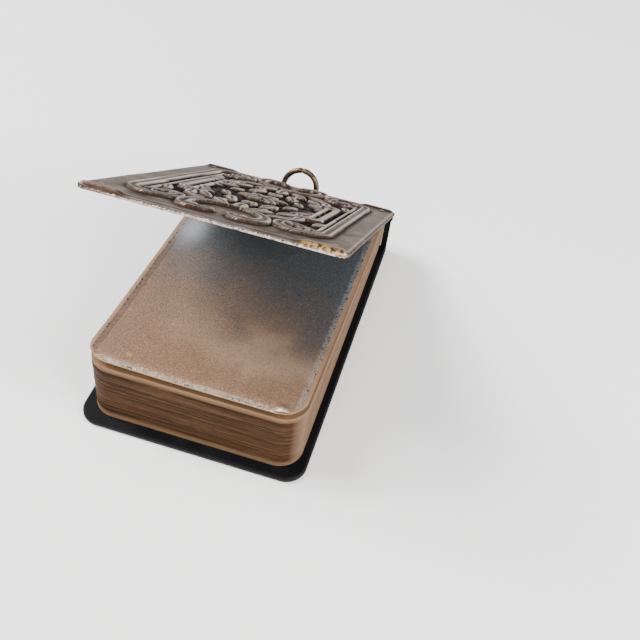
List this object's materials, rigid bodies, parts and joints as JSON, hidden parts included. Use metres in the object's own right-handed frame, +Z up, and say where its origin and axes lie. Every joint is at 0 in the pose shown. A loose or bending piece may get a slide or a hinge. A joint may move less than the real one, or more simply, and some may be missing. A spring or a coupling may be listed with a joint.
{
  "type": "aide memoire case",
  "caption": "Pocket notebook bound at its top edge, with a stamped relief metal front cover that lifts on a leather hinge, silvered endpapers and a ring on the spine.",
  "frame": {"origin": "middle of the underside of the back cover", "axes": "+X across the pages, +Y from the free edge to the spine, +Z up through the pages; the front cover stands open at rest"},
  "size_m": [0.0386, 0.0642, 0.0417],
  "materials": {
    "plate": "stamped brass, silver plated, tarnished in the recesses and worn on the high spots",
    "leather": "thin black leather, smooth, low sheen",
    "board": "grey-brown pasteboard",
    "silvered_paper": "silvered endpaper with a fine grain and coppery tarnish",
    "page": "aged paper with worn gilding on the cut edges",
    "gauze": "open cotton gauze",
    "thread": "linen thread",
    "bronze": "dark bronzed wire"
  },
  "bodies": {
    "back_and_pages": {"back_leather": "leather", "back_board": "board", "back_pastedown": "silvered_paper", "spine_card": "board", "spine_mull": "gauze", "sewing_thread": "thread", "back_flyleaf": "silvered_paper", "page_section_1": "page", "page_section_2": "page", "page_section_3": "page", "page_section_4": "page", "page_section_5": "page", "page_section_6": "page", "page_section_7": "page", "page_section_8": "page", "ring_lug": "bronze", "lug_washer": "bronze"},
    "front_cover": {"front_lining": "silvered_paper", "front_board": "board", "hinge_leather": "leather", "front_plate": "plate"},
    "top_leaf": {"silver_leaf": "silvered_paper"},
    "ring": {"suspension_ring": "bronze"}
  },
  "joints": [
    {"name": "cover_hinge", "type": "hinge", "parent": "back_and_pages", "child": "front_cover", "pos_m": [0, 0.02935, 0.00892], "axis": [-1, 0, 0], "range_deg": [-28, 92]},
    {"name": "leaf_lift", "type": "hinge", "parent": "back_and_pages", "child": "top_leaf", "pos_m": [0, 0.02775, 0.00822], "axis": [-1, 0, 0], "range_deg": [-1.3, 4.2]},
    {"name": "ring_swing", "type": "hinge", "parent": "back_and_pages", "child": "ring", "pos_m": [-0.0008, 0.03105, 0.0044], "axis": [1, 0, 0], "range_deg": [-147, 3]}
  ],
  "couplings": [
    {"joint": "leaf_lift", "follows": "cover_hinge", "ratio": 0.045}
  ]
}
